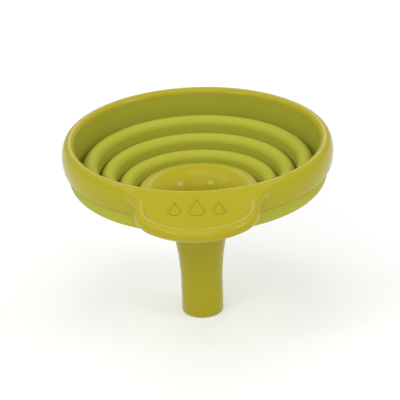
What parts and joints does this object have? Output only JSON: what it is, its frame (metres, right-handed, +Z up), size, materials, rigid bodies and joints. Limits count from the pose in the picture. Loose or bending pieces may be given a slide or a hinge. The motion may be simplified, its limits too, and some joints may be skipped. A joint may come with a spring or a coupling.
{
  "type": "collapsible funnel",
  "caption": "Folding kitchen funnel: round rigid rim with a thumb tab, soft pleated bellows that nests in rings, trumpet throat and narrow straight spout.",
  "frame": {"origin": "centre of the spout's open tip", "axes": "+Z up along the spout to the rim, thumb tab towards -Y"},
  "size_m": [0.108, 0.1324, 0.077],
  "materials": {
    "rigid_plastic": "glossy moulded polypropylene, slightly translucent",
    "soft_silicone": "soft satin silicone"
  },
  "bodies": {
    "spout": {"spout_tube": "rigid_plastic", "throat_bell": "rigid_plastic", "bellows_cuff": "soft_silicone"},
    "ring_3": {"bellows_ring_3": "soft_silicone", "bellows_web_4": "soft_silicone"},
    "ring_2": {"bellows_ring_2": "soft_silicone", "bellows_web_3": "soft_silicone"},
    "ring_1": {"bellows_ring_1": "soft_silicone", "bellows_web_2": "soft_silicone"},
    "rim": {"rim_collar": "rigid_plastic", "thumb_tab": "rigid_plastic", "tab_emblem": "rigid_plastic", "bellows_skirt": "soft_silicone", "bellows_web_1": "soft_silicone"}
  },
  "joints": [
    {"name": "lift_ring_3", "type": "slide", "parent": "spout", "child": "ring_3", "axis": [0, 0, 1], "range_m": [0, 0.0093], "deforming": ["bellows_web_4"]},
    {"name": "lift_ring_2", "type": "slide", "parent": "ring_3", "child": "ring_2", "axis": [0, 0, 1], "range_m": [0, 0.009], "deforming": ["bellows_web_3"]},
    {"name": "lift_ring_1", "type": "slide", "parent": "ring_2", "child": "ring_1", "axis": [0, 0, 1], "range_m": [0, 0.011], "deforming": ["bellows_web_2"]},
    {"name": "lift_rim", "type": "slide", "parent": "ring_1", "child": "rim", "axis": [0, 0, 1], "range_m": [0, 0.0158], "deforming": ["bellows_web_1"]}
  ]
}
